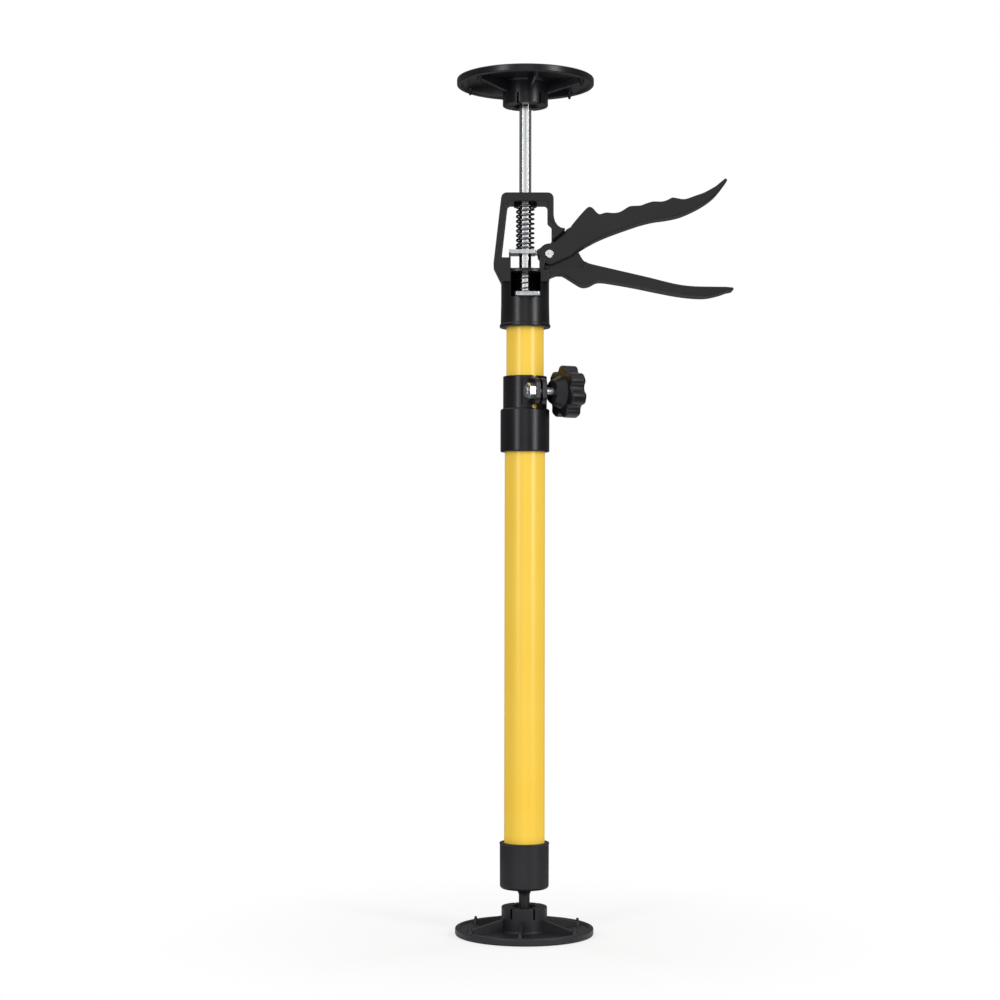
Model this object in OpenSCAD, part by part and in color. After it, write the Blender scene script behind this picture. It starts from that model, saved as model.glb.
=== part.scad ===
// Telescopic drywall support pole, in millimetres.
// The origin is the middle of the foot plate's outer face and +Z is up the pole.
// The two handles reach out along +X, and the open front of the grip faces -Y.

/* [Tubes] */
// Outside diameter of the outer tube
outer_tube_d = 30; // [29:0.1:32]
// Wall of both tubes
tube_wall = 0.8; // [0.6:0.05:1]
// Gap all round between the two tubes
tube_gap = 0.3; // [0.3:0.05:0.5]
// Length of the outer tube
outer_tube_l = 347.5; // [320:0.5:500]
// Distance from the foot cap's floor up to the inner tube's lower end, as shown
tube_rest = 50; // [48:1:80]
// Length of inner tube that shows between the clamp and the grip
tube_show = 36.2; // [35:0.2:200]
// Height of the flange on the guide at the inner tube's lower end
guide_flange_h = 6; // [4:0.5:10]
// Height of the part of the guide inside the inner tube
guide_plug_h = 14; // [8:1:20]
// Radius of the hole through the guide
guide_hole_r = 8; // [7:0.5:10]

/* [Foot and head plates] */
// Radius of each round plate
plate_r = 51.2; // [45:0.5:60]
// Height of the plate's rim
rim_h = 5.5; // [4:0.1:7]
// Width of the flat top of the rim
rim_w = 4.2; // [3:0.1:6]
// Thickness of the dished floor
floor_h = 2.8; // [2:0.1:3.5]
// Radius where the floor starts to rise to the rim
dish_r = 36; // [30:0.5:40]
// Radius of the hub
hub_r = 16.9; // [15:0.1:20]
// Height of the hub above the plate's outer face
hub_h = 21; // [18:0.1:22]
// Number of gusset ribs and nubs on each plate
rib_count = 6; // [4:1:8]
// Thickness of a gusset rib
rib_w = 2; // [1.5:0.1:3]
// Height of a rib where it meets the hub
rib_h = 12.5; // [10:0.5:15]
// Radius from the axis to a nub
nub_r = 44.2; // [40:0.2:46]
// Height of a nub's tip above the rim
nub_rise = 3.6; // [2:0.1:5]
// Radius of a nub's base
nub_base_r = 2.6; // [2:0.1:3.5]
// Width of the finger slots in the hub
slot_w = 1.6; // [1:0.1:2.5]
// Depth of the finger slots
slot_h = 8; // [4:0.5:8]
// Turn of the foot plate's ribs from +X
foot_turn = 25; // [0:1:59]
// Turn of the head plate's ribs from +X
head_turn = 40; // [0:1:59]

/* [Ball joints] */
// Diameter of both balls
ball_d = 16; // [14:0.5:17]
// Height of a ball's centre above its plate's outer face
ball_h = 10.5; // [10.2:0.1:11]
// Running gap between a ball and its socket
ball_gap = 0.05; // [0.02:0.01:0.1]
// Radius of the foot stud's neck
neck_r = 4.05; // [3.5:0.05:4.5]
// Distance from the foot ball's centre to the foot cap
stud_reach = 23.5; // [20:0.5:30]
// Radius of the flare where the neck meets the cap
flare_r = 7; // [6:0.1:9]
// Height of that flare
flare_h = 5.5; // [4:0.1:6.5]
// Radius of the stud's shank in the cap
shank_r = 4; // [3:0.1:5]
// Radius of the stud's retaining head
stud_head_r = 6; // [5.5:0.1:8]
// Thickness of the stud's retaining head
stud_head_h = 3; // [2:0.1:3]

/* [Foot cap and clamp] */
// Wall of the foot cap and of the clamp's sleeve around the outer tube
sleeve_wall = 3.2; // [2.5:0.1:4]
// Height of the foot cap
cap_h = 34; // [25:0.5:50]
// Thickness of the foot cap's floor
cap_floor = 5.5; // [4:0.1:6]
// Length of outer tube inside the clamp's sleeve
sleeve_depth = 30; // [20:0.5:40]
// Thickness of the shoulder above the outer tube's end
shoulder_h = 2; // [1.5:0.1:3]
// Wall of the clamp ring
ring_wall = 2.1; // [1.6:0.1:2.1]
// Height of the clamp ring above the shoulder
ring_h = 24.4; // [22:0.2:30]
// Turn of the clamp's slit from the front towards +X
clamp_turn = 28; // [0:1:45]
// Width of the slit
slit_w = 2; // [1.5:0.1:3]
// Diameter of the round hole at the foot of the slit
slit_hole_d = 5; // [4:0.2:5.6]
// Half the width of the vee at the top of the slit
vee_w = 2.2; // [1.5:0.1:3]
// Thickness of each ear
ear_t = 4; // [3:0.1:5]
// Reach of the ears from the tube's axis
ear_reach = 25.8; // [25:0.1:28]
// Height of the ears
ear_h = 19.5; // [18:0.5:22]
// Radius of the ears' rounded corners
ear_round = 5; // [3:0.5:7]
// Distance from the tube's axis to the clamp bolt's axis
bolt_offset = 21; // [21:0.1:21.6]
// Diameter of the clamp bolt
bolt_d = 6; // [5:0.5:6]
// Clearance round the bolt in the ears
bolt_gap = 0.3; // [0.2:0.05:0.5]
// Width across the flats of the nut
nut_af = 10; // [8:0.5:10]
// Thickness of the nut
nut_h = 5; // [4:0.5:6]
// Depth of the shallow pocket beside the nut
pocket_depth = 0.9; // [0.4:0.1:1]

/* [Knob] */
// Outer radius of the knob's lobes
knob_r = 19.3; // [16:0.1:22]
// Number of lobes
lobe_count = 7; // [5:1:9]
// Radius of a lobe's round end
lobe_r = 4.4; // [3.5:0.1:5.5]
// Radius of the knob between its lobes
knob_core_r = 15; // [12:0.1:16]
// Thickness of the lobed head
knob_t = 12.5; // [10:0.1:16]
// Length of bolt that shows between the ear and the knob
bolt_show = 6; // [6:0.1:10]
// Length of the knob's conical hub
knob_hub_l = 6.9; // [5:0.1:12]
// Radius of the hub's small end
knob_hub_r = 8.6; // [7:0.1:8.6]
// Radius of the hub's large end
knob_hub_wide_r = 12.5; // [10:0.1:14]

/* [Grip frame] */
// Depth of the window frame from front to back
frame_depth = 28; // [24:0.5:32]
// Radius of the cup at its top
cup_r = 17.9; // [16.5:0.1:20]
// Distance from the window's floor down to where the frame meets the cup
frame_skirt_h = 9.8; // [8:0.2:10.4]
// Reach of the frame to the left at its widest
frame_wide_x = 23.7; // [23:0.1:25]
// Height of that widest place above the window's floor
frame_wide_h = 3; // [2:0.1:5]
// Reach of the frame to the left at its top
frame_top_x = 17.6; // [17:0.1:19]
// Reach of the frame to the right
frame_right_x = 20.9; // [20.5:0.1:22]
// Extra radius of the cup at its lower rim
cup_draft = 0.4; // [0:0.1:1]
// Extra radius of the bead round the cup's mouth
bead_r = 0.7; // [0.5:0.1:2]
// Depth of inner tube in the cup
cup_depth = 17.4; // [12:0.2:30]
// Thickness of the floor between the cup and the recess
cup_floor = 4.5; // [3:0.1:6]
// Height of the front recess
recess_h = 18.7; // [17:0.1:24]
// Thickness of the bridge between the recess and the window
bridge_t = 2.4; // [2:0.1:4]
// Height of the window
window_h = 50; // [46:0.5:60]
// Thickness of the top bridge
top_t = 6.4; // [5:0.1:10]
// Reach of the recess to the left of the rod
recess_left = 10.6; // [9:0.1:11]
// Reach of the recess to the right of the rod
recess_right = 11.4; // [11.3:0.1:12]
// Half the width of the window at its floor
window_floor_w = 10.8; // [10:0.1:11]
// Thickness of the web that carries the lever
web_t = 8; // [6:0.5:9]
// Radius of the web's round end at the pivot
web_end_r = 5.2; // [4:0.1:5.4]
// Depth below the pivot where the frame widens under the lever
cheek_drop = 10.5; // [10.2:0.1:11]
// Radius round the pivot that the lever's slot clears
lever_slot_r = 26.5; // [26:0.1:28]
// Clearance radius round the rod in the frame and the plates
rod_hole_gap = 0.4; // [0.3:0.05:0.6]

/* [Handles] */
// Distance from the rod's axis to the lever's pivot
pivot_x = 17.9; // [17.5:0.1:19]
// Height of the pivot above the window's floor
pivot_h = 11.4; // [11:0.1:12]
// Reach of the lever from its pivot
lever_reach = 132.5; // [125:0.5:150]
// Width of the lever
lever_w = 17; // [15:0.5:18]
// Radius of the lever's boss
lever_boss_r = 8; // [7:0.1:8.2]
// Distance from the pivot to the tip of the lever's nose
nose_reach = 9.6; // [9:0.1:9.8]
// Distance from the pivot to the bar that lifts the drive plate
lift_reach = 7.2; // [7:0.1:7.4]
// Radius of that bar
lift_bar_r = 1.5; // [1:0.1:1.5]
// Reach of the fixed handle from the pivot
handle_reach = 137; // [130:0.5:155]
// Width of the fixed handle
handle_w = 17; // [15:0.5:20]
// Diameter of the pivot pin
pin_d = 4; // [3:0.1:5]
// Radius of the pin's heads
pin_head_r = 3.4; // [3:0.1:4]
// Thickness of the pin's heads
pin_head_h = 1.2; // [0.8:0.1:2]
// Clearance between the lever and what it turns past
side_gap = 0.3; // [0.3:0.05:0.5]

/* [Rod, plates and springs] */
// Width across the flats of the push rod
rod_af = 8; // [7:0.1:8.2]
// Length of the push rod without its spigot
rod_l = 419; // [380:1:430]
// Length of rod that shows between the frame and the head plate
rod_show = 66.5; // [66:0.5:200]
// Diameter of the rod's spigot in the top ball
spigot_d = 6; // [4:0.5:6.5]
// Length of the spigot
spigot_l = 10; // [8:0.5:11]
// Radius of the stop ring on the rod
stop_r = 9; // [7:0.5:12]
// Thickness of the stop ring
stop_h = 2.5; // [1.5:0.1:4]
// Distance from the rod's lower end to the stop ring
stop_inset = 5; // [3:0.5:10]
// Thickness of the drive plate and the release plate
clutch_t = 3; // [2.5:0.1:3.2]
// Reach of the drive plate to the left of the rod
drive_left = 12.1; // [11.5:0.1:13]
// Reach of the drive plate's wide part to the right
drive_right = 7.6; // [6.5:0.1:7.8]
// Depth of the drive plate from front to back
drive_depth = 17; // [14:0.5:20]
// Outside diameter of the drive spring
spring_d = 14.1; // [13.8:0.1:14.8]
// Wire of the drive spring
spring_wire = 1.6; // [1.2:0.1:1.8]
// Number of curls of the drive spring
spring_turns = 8.5; // [6:0.5:10]
// Depth of the seat ring under the top bridge
spring_seat_h = 2.6; // [1.5:0.1:4]
// Outside diameter of the release spring
release_spring_d = 12.7; // [12.6:0.1:13.4]
// Wire of the release spring
release_wire = 0.9; // [0.8:0.05:1]
// Number of curls of the release spring
release_turns = 4; // [3:0.5:5]
// Reach of the release plate to the left of the rod
release_left = 7.7; // [7:0.1:8]
// Reach of the release plate to the right of the rod
release_right = 11; // [10:0.1:11]
// Distance from the rod's axis to the release plate's back edge
release_back = 8.5; // [8:0.1:8.8]
// Length of the release plate from its back edge to its thumb edge
release_l = 32.5; // [28:0.5:36]
// Angle that the release plate slopes down to the front at rest
release_slope = 5; // [3:0.5:6]

/* [Hidden] */
$fn = 72;

// Small allowances
seat_gap = 0.05;
press_gap = 0.02;
rest_gap = 0.3;
overrun = 1;
edge = 1;
small_edge = 0.6;

// Colours
paint_yellow = "#f6c936";
moulded_black = "#1f1f23";
bright_steel = "#c9ccd0";
zinc_steel = "#aeb2b6";

// Radii that follow the tubes
outer_r = outer_tube_d / 2;
bore_r = outer_r - tube_wall;
inner_r = bore_r - tube_gap;
inner_bore_r = inner_r - tube_wall;
sleeve_r = outer_r + seat_gap + sleeve_wall;
ring_r = bore_r + ring_wall;

// Heights up the pole
cap_z = ball_h + stud_reach;
tube_z = cap_z + cap_floor;
tube_top_z = tube_z + outer_tube_l;
collar_z = tube_top_z - sleeve_depth;
ring_z = tube_top_z + shoulder_h;
ring_top_z = ring_z + ring_h;
cup_z = ring_top_z + tube_show;
inner_top_z = cup_z + cup_depth;
inner_z = tube_z + tube_rest;
inner_tube_l = inner_top_z - inner_z;
recess_z = inner_top_z + cup_floor;
recess_top_z = recess_z + recess_h;
window_z = recess_top_z + bridge_t;
window_top_z = window_z + window_h;
frame_top_z = window_top_z + top_t;
pivot_z = window_z + pivot_h;
head_face_z = frame_top_z + rod_show + hub_h;
head_ball_z = head_face_z - ball_h;

// Ball joints
ball_r = ball_d / 2;
ball_flat_share = 0.775;
bar_end_share = 0.2;
ball_flat = ball_r * ball_flat_share;
lip_height_share = 0.5;
lip_radius_share = 0.82;
mouth_share = 1.15;
lip_z = ball_h + ball_r * lip_height_share;
mouth_r = ball_r * mouth_share;
rod_top_z = head_ball_z - ball_flat;
rod_z = rod_top_z - rod_l;

// Clamp bolt: along local Y, where local X is the direction of the slit
bolt_z = ring_z + ring_h / 2;
bolt_r = bolt_d / 2;
ear_y = slit_w / 2 + ear_t;
ear_z = bolt_z - ear_h / 2;
slit_z = ring_z + slit_hole_d / 4;
knob_hub_y = ear_y + bolt_show;
knob_y = knob_hub_y + knob_hub_l;
knob_bolt_share = 0.4;
bolt_tip_y = -(ear_y + nut_h + bolt_r / 3);
bolt_end_y = knob_y + knob_t * knob_bolt_share;

// Lever and rod
rod_corner_r = rod_af / sqrt(3);
rod_hole_r = rod_corner_r + rod_hole_gap;
pivot = [pivot_x, pivot_z];
lift_angle = 11;
lift_bar = [pivot_x - lift_reach * cos(lift_angle), pivot_z - lift_reach * sin(lift_angle)];
drive_z = lift_bar.y + lift_bar_r + rest_gap;
wide_cut_r = lever_slot_r + 2 * side_gap;
wide_top_z = pivot_z - cheek_drop;

// Frame outline, on the plane of the rod and the handles
neck_x = cup_r - edge / 2;
frame_low_z = window_z - frame_skirt_h;
frame_wide_z = window_z + frame_wide_h;
corner_r = 4;
window_round = 2;
bar_t = 4.1;
left_bar_t = 5.1;
ledge_h = 8.1;
post_w = 2.5;
post_h = 9.9;
bar_end_z = pivot_z + handle_reach * bar_end_share;
web_low_z = frame_low_z + handle_w / 3;
recess_back_wall = 2.5;
recess_back_r = cup_r - recess_back_wall;

// Release plate: it leans on a ledge at the back and slopes down to the front
release_z = recess_z + rest_gap + (cup_r + release_back) * tan(release_slope);
release_ledge_z = release_z - rest_gap;

// Outline of the lever from its upper root round the tip to its lower root, as shares of its reach
lever_outline_shares = [
    [0.118, 0.151], [0.152, 0.195], [0.196, 0.246], [0.220, 0.265], [0.242, 0.260], [0.265, 0.235],
    [0.284, 0.225], [0.318, 0.234], [0.362, 0.232], [0.399, 0.240], [0.442, 0.266], [0.465, 0.272],
    [0.510, 0.274], [0.546, 0.287], [0.582, 0.297], [0.630, 0.297], [0.660, 0.305], [0.688, 0.319],
    [0.714, 0.317], [0.740, 0.311], [0.770, 0.313], [0.820, 0.331], [0.870, 0.349], [0.933, 0.384],
    [0.983, 0.424], [0.993, 0.431], [1.000, 0.422], [0.965, 0.372], [0.926, 0.327], [0.870, 0.285],
    [0.807, 0.250], [0.737, 0.221], [0.666, 0.204], [0.589, 0.193], [0.512, 0.174], [0.414, 0.141],
    [0.329, 0.109], [0.252, 0.074], [0.168, 0.025], [0.125, -0.010], [0.081, -0.030]];

// Outline of the fixed handle from its upper root round the tip to its lower root, as shares
handle_outline_shares = [
    [0.182, -0.025], [0.209, -0.047], [0.283, -0.066], [0.400, -0.093], [0.536, -0.125],
    [0.672, -0.158], [0.766, -0.172], [0.861, -0.175], [0.956, -0.176], [0.990, -0.180],
    [1.000, -0.187], [0.990, -0.194], [0.962, -0.202], [0.916, -0.218], [0.848, -0.231],
    [0.772, -0.229], [0.685, -0.218], [0.570, -0.196], [0.468, -0.175], [0.373, -0.158],
    [0.290, -0.146], [0.253, -0.149], [0.223, -0.165], [0.193, -0.173], [0.164, -0.166],
    [0.115, -0.136], [0.075, -0.112], [0.046, -0.107], [0.006, -0.122]];

// Edge of the web that sweeps out from the right bar and hides behind the lever, as shares
web_outline_shares = [
    [0.036, 0.160], [0.060, 0.140], [0.085, 0.134], [0.114, 0.109], [0.152, 0.029], [0.182, -0.025]];

// Helpers
function polar(r, a) = [r * cos(a), r * sin(a)];
function unit(v) = v / norm(v);
function curve_point(a, b, c, d, t) =
    (2 * b + (c - a) * t + (2 * a - 5 * b + 4 * c - d) * t * t + (3 * b - a - 3 * c + d) * t * t * t) / 2;
function smooth(p, steps) = [
    for (i = [0 : len(p) - 2]) for (k = [0 : steps - 1])
        curve_point(p[max(i - 1, 0)], p[i], p[i + 1], p[min(i + 2, len(p) - 1)], k / steps),
    p[len(p) - 1]];
function arc(centre, r, from, to, steps) = [
    for (k = [0 : steps]) centre + polar(r, from + (to - from) * k / steps)];

// Extrudes a drawing of the X-Z plane across the depth, middle on Y = 0
module across(depth) {
    rotate([90, 0, 0]) linear_extrude(depth, center = true) children();
}

// Turns to the clamp's own frame: X out along the slit, Y along the bolt
module clamp_frame() {
    rotate([0, 0, clamp_turn - 90]) children();
}

// A bar along the clamp bolt, from one place to another
module bolt_bar(r, from, to) {
    translate([bolt_offset, from, bolt_z]) rotate([-90, 0, 0]) cylinder(r = r, h = to - from);
}

module hex_outline(af) {
    circle(r = af / sqrt(3), $fn = 6);
}

// Springs: one tube of wire with short upright ends
curl_steps = 8;
wire_sides = 6;
function coil_point(r, z, turns, height, start, k, steps) =
    let (a = start + 360 * turns * k / steps) [r * cos(a), r * sin(a), z + height * k / steps];
function coil_angle(start, turns, k, steps) = start + 360 * turns * min(max(k, 0), steps) / steps;
function coil_path(r, wire, z, height, turns, start) = let (steps = round(turns * curl_steps)) concat(
    [coil_point(r, z, turns, 0, start, 0, steps)],
    [for (k = [0 : steps]) coil_point(r, z + wire, turns, height - 2 * wire, start, k, steps)],
    [coil_point(r, z + height, turns, 0, start, steps, steps)]);
function coil_rings(r, wire, z, height, turns, start) =
    let (steps = round(turns * curl_steps),
         path = coil_path(r, wire, z, height, turns, start),
         last = len(path) - 1)
    [for (i = [0 : last])
        let (along = unit(path[min(i + 1, last)] - path[max(i - 1, 0)]),
             a = coil_angle(start, turns, i - 1, steps),
             out = unit(cross(cross(along, [cos(a), sin(a), 0]), along)),
             side = cross(along, out))
        [for (j = [0 : wire_sides - 1])
            path[i] + wire / 2 * (out * cos(360 * j / wire_sides) + side * sin(360 * j / wire_sides))]];
function least_gap(rings) = min([
    for (i = [0 : len(rings) - curl_steps])
        for (k = [curl_steps - 2 : min(curl_steps + 2, len(rings) - 1 - i)])
            for (a = rings[i]) for (b = rings[i + k]) norm(a - b)]);

module coil(name, d, wire, z, height, turns, start) {
    rings = coil_rings((d - wire) / 2, wire, z, height, turns, start);
    count = len(rings);
    echo(str(name, " least gap to itself"), least_gap(rings));
    polyhedron(
        points = [for (ring = rings) for (p = ring) p],
        faces = concat(
            [[for (j = [0 : wire_sides - 1]) j]],
            [for (i = [0 : count - 2]) for (j = [0 : wire_sides - 1])
                [i * wire_sides + j, (i + 1) * wire_sides + j, i * wire_sides + (j + 1) % wire_sides]],
            [for (i = [0 : count - 2]) for (j = [0 : wire_sides - 1])
                [(i + 1) * wire_sides + j, (i + 1) * wire_sides + (j + 1) % wire_sides,
                 i * wire_sides + (j + 1) % wire_sides]],
            [[for (j = [wire_sides - 1 : -1 : 0]) (count - 1) * wire_sides + j]]));
}

// One moulded plate with its outer face on Z = 0 and its ball socket facing up
module end_plate(turn) {
    difference() {
        union() {
            rotate_extrude() polygon([
                [0, 0], [plate_r - edge, 0], [plate_r, edge], [plate_r, rim_h - edge],
                [plate_r - edge, rim_h], [plate_r - rim_w - edge, rim_h], [dish_r, floor_h],
                [hub_r, floor_h], [hub_r, hub_h - edge], [hub_r - edge, hub_h], [0, hub_h]]);
            for (i = [0 : rib_count - 1]) rotate([0, 0, turn + 360 * i / rib_count]) {
                plate_rib();
                plate_nub();
            }
        }
        translate([0, 0, ball_h]) sphere(r = ball_r + ball_gap);
        translate([0, 0, lip_z])
            cylinder(r1 = ball_r * lip_radius_share, r2 = mouth_r, h = hub_h - lip_z);
        translate([0, 0, hub_h]) cylinder(r = mouth_r, h = overrun);
        for (i = [0 : rib_count - 1]) rotate([0, 0, turn + 360 * (i + 1 / 2) / rib_count])
            translate([0, -slot_w / 2, hub_h - slot_h]) cube([hub_r + overrun, slot_w, slot_h + overrun]);
    }
}

module plate_rib() {
    across(rib_w) polygon([
        [hub_r - edge, floor_h / 2], [nub_r, floor_h / 2], [nub_r, rim_h],
        [hub_r, rib_h], [hub_r - edge, rib_h]]);
}

module plate_nub() {
    translate([nub_r, 0, floor_h]) {
        cylinder(r1 = nub_base_r, r2 = nub_base_r / 2, h = rim_h - floor_h + nub_rise / 3);
        cylinder(r1 = nub_base_r / 2, r2 = nub_base_r / 5, h = rim_h - floor_h + nub_rise);
    }
}

module foot_plate() {
    color(moulded_black) end_plate(foot_turn);
}

module head_plate() {
    color(moulded_black) translate([0, 0, head_face_z]) rotate([180, 0, 0]) end_plate(-head_turn);
}

// Ball, waisted neck and a shank that turns in the foot cap
module foot_ball_stud() {
    shank_top = tube_z + rest_gap;
    color(moulded_black) union() {
        translate([0, 0, ball_h]) sphere(r = ball_r);
        rotate_extrude() polygon(concat(
            [[0, ball_h]],
            [[neck_r, ball_h]],
            arc([flare_r, cap_z - rest_gap - flare_h], flare_r - neck_r, 180, 90, 12),
            [[flare_r, cap_z - rest_gap], [shank_r, cap_z - rest_gap], [shank_r, shank_top],
             [stud_head_r, shank_top], [stud_head_r, shank_top + stud_head_h - small_edge],
             [stud_head_r - small_edge, shank_top + stud_head_h], [0, shank_top + stud_head_h]]));
    }
}

module foot_cap() {
    color(moulded_black) rotate_extrude() polygon(concat(
        [[shank_r + seat_gap, cap_z]],
        arc([sleeve_r - 2 * edge, cap_z + 2 * edge], 2 * edge, -90, 0, 8),
        arc([sleeve_r - edge, cap_z + cap_h - edge], edge, 0, 90, 6),
        [[outer_r + seat_gap, cap_z + cap_h], [outer_r + seat_gap, tube_z], [shank_r + seat_gap, tube_z]]));
}

module outer_tube() {
    color(paint_yellow) translate([0, 0, tube_z]) difference() {
        cylinder(r = outer_r, h = outer_tube_l);
        translate([0, 0, -overrun]) cylinder(r = bore_r, h = outer_tube_l + 2 * overrun);
    }
}

module inner_tube() {
    color(paint_yellow) translate([0, 0, inner_z]) difference() {
        cylinder(r = inner_r, h = inner_tube_l);
        translate([0, 0, -overrun]) cylinder(r = inner_bore_r, h = inner_tube_l + 2 * overrun);
    }
}

// Bush that closes the inner tube's lower end and runs in the outer tube
module tube_guide() {
    plug_r = inner_bore_r - press_gap;
    flange_r = bore_r - seat_gap;
    flange_z = inner_z - guide_flange_h;
    color(moulded_black) rotate_extrude() polygon([
        [guide_hole_r, flange_z], [flange_r - small_edge, flange_z], [flange_r, flange_z + small_edge],
        [flange_r, inner_z], [plug_r, inner_z], [plug_r, inner_z + guide_plug_h - small_edge],
        [plug_r - small_edge, inner_z + guide_plug_h], [guide_hole_r, inner_z + guide_plug_h]]);
}

// Sleeve on the outer tube and a slit ring with two ears round the inner tube
module clamp_collar() {
    color(moulded_black) difference() {
        union() {
            rotate_extrude() polygon(concat(
                [[outer_r + seat_gap, collar_z]],
                arc([sleeve_r - edge, collar_z + edge], edge, -90, 0, 6),
                [[sleeve_r, ring_z - edge], [sleeve_r - edge, ring_z], [ring_r, ring_z],
                 [ring_r, ring_top_z - small_edge], [ring_r - small_edge, ring_top_z], [bore_r, ring_top_z],
                 [bore_r, tube_top_z], [outer_r + seat_gap, tube_top_z]]));
            clamp_frame() clamp_ears();
        }
        translate([0, 0, tube_top_z - overrun]) cylinder(r = bore_r, h = ring_h + shoulder_h + 2 * overrun);
        clamp_frame() clamp_cuts();
    }
}

module clamp_ears() {
    across(2 * ear_y) {
        translate([bore_r, ear_z]) square([ear_reach - bore_r - ear_round, ear_h]);
        translate([bore_r, ear_z + ear_round]) square([ear_reach - bore_r, ear_h - 2 * ear_round]);
        for (z = [ear_z + ear_round, ear_z + ear_h - ear_round])
            translate([ear_reach - ear_round, z]) circle(r = ear_round);
    }
}

module clamp_cuts() {
    translate([0, -slit_w / 2, slit_z]) cube([ear_reach + overrun, slit_w, ring_top_z - slit_z + overrun]);
    translate([0, 0, slit_z]) rotate([0, 90, 0]) cylinder(d = slit_hole_d, h = ear_reach + overrun);
    translate([0, 0, ring_top_z]) rotate([90, 0, 90]) linear_extrude(ear_reach + overrun)
        polygon([[-vee_w, small_edge], [-vee_w, 0], [0, -vee_w], [vee_w, 0], [vee_w, small_edge]]);
    bolt_bar(bolt_r + bolt_gap, -ear_y - overrun, ear_y + overrun);
    intersection() {
        difference() {
            translate([0, 0, ear_z]) cylinder(r = ring_r + overrun, h = ear_h);
            translate([0, 0, ear_z - overrun]) cylinder(r = ring_r - pocket_depth, h = ear_h + 2 * overrun);
        }
        translate([0, -ear_y - nut_h, ear_z]) cube([ear_reach, nut_h, ear_h]);
    }
}

module clamp_nut() {
    color(bright_steel) clamp_frame() difference() {
        translate([bolt_offset, -ear_y - nut_h, bolt_z]) rotate([-90, 0, 0])
            linear_extrude(nut_h) rotate(30) hex_outline(nut_af);
        bolt_bar(bolt_r + seat_gap, -ear_y - nut_h - overrun, -ear_y + overrun);
    }
}

module clamp_stud() {
    color(bright_steel) clamp_frame() bolt_bar(bolt_r, bolt_tip_y, bolt_end_y);
}

module clamp_knob() {
    color(moulded_black) clamp_frame() difference() {
        union() {
            translate([bolt_offset, knob_hub_y, bolt_z]) rotate([-90, 0, 0])
                cylinder(r1 = knob_hub_r, r2 = knob_hub_wide_r, h = knob_hub_l);
            translate([bolt_offset, knob_y, bolt_z]) rotate([-90, 0, 0])
                linear_extrude(knob_t) knob_outline();
        }
        bolt_bar(bolt_r + press_gap, knob_hub_y - overrun, bolt_end_y);
    }
}

module knob_outline() {
    circle(r = knob_core_r);
    for (i = [0 : lobe_count - 1]) rotate(-90 + 360 * i / lobe_count) {
        translate([knob_r - lobe_r, 0]) circle(r = lobe_r);
        translate([0, -lobe_r]) square([knob_r - lobe_r, 2 * lobe_r]);
    }
}

// Frame drawings on the X-Z plane
module frame_side_outline() {
    lever_cut = [side_gap + edge / 2, 0];
    bar_low = pivot + [frame_right_x - pivot_x - edge, lever_boss_r + bar_t / 2];
    polygon(concat(
        [[-neck_x, frame_low_z], [-frame_wide_x, frame_wide_z], [-frame_top_x, frame_top_z - corner_r]],
        arc([corner_r - frame_top_x, frame_top_z - corner_r], corner_r, 180, 90, 8),
        arc([frame_right_x - corner_r, frame_top_z - corner_r], corner_r, 90, 0, 8),
        [[frame_right_x, bar_end_z]],
        [for (i = [0 : 2]) pivot + handle_reach * web_outline_shares[i] - lever_cut],
        [bar_low, bar_low + [0, -bar_t / 2 + edge]],
        [[window_floor_w + post_w, window_z], [neck_x + side_gap, window_z],
         [neck_x + side_gap, frame_low_z]]));
}

module window_outline() {
    left_top = left_bar_t - frame_top_x - small_edge;
    left_low = left_bar_t - frame_wide_x + small_edge;
    right_in = frame_right_x - bar_t;
    right_step_z = bar_end_z - bar_t + small_edge;
    polygon(concat(
        [[-window_floor_w, window_z], [-window_floor_w, drive_z], [-drive_left, drive_z],
         [-drive_left, window_z + ledge_h], [left_low, window_z + ledge_h]],
        arc([left_top + window_round, window_top_z - window_round], window_round, 180, 90, 6),
        arc([right_in - window_round, window_top_z - window_round], window_round, 90, 0, 6),
        [[right_in, right_step_z + bar_t / 2], [frame_right_x - edge, right_step_z - edge],
         [frame_right_x - edge, pivot_z - lever_boss_r], [window_floor_w, window_z + post_h],
         [window_floor_w, window_z]]));
}

module web_drawing() {
    polygon(concat(
        [pivot + [-web_end_r, 0], [frame_right_x - edge, pivot_z + 2 * web_end_r],
         [frame_right_x - edge, bar_end_z], [frame_right_x, bar_end_z]],
        [for (p = web_outline_shares) pivot + handle_reach * p],
        [pivot + handle_reach * handle_outline_shares[1], [pivot_x + lever_slot_r, web_low_z],
         [window_floor_w + post_w, web_low_z], [window_floor_w + post_w, window_z + post_h / 2]]));
    translate(pivot) circle(r = web_end_r);
}

module handle_drawing() {
    polygon(concat(
        [for (p = smooth(handle_outline_shares, 3)) pivot + handle_reach * p],
        [[neck_x, frame_low_z - overrun], [0, frame_low_z - overrun], [0, window_z],
         [pivot_x, window_z + edge]]));
}

// Lays a cylinder's axis on the lever's pivot
module at_pivot() {
    translate([pivot_x, 0, pivot_z]) rotate([90, 0, 0]) children();
}

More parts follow.
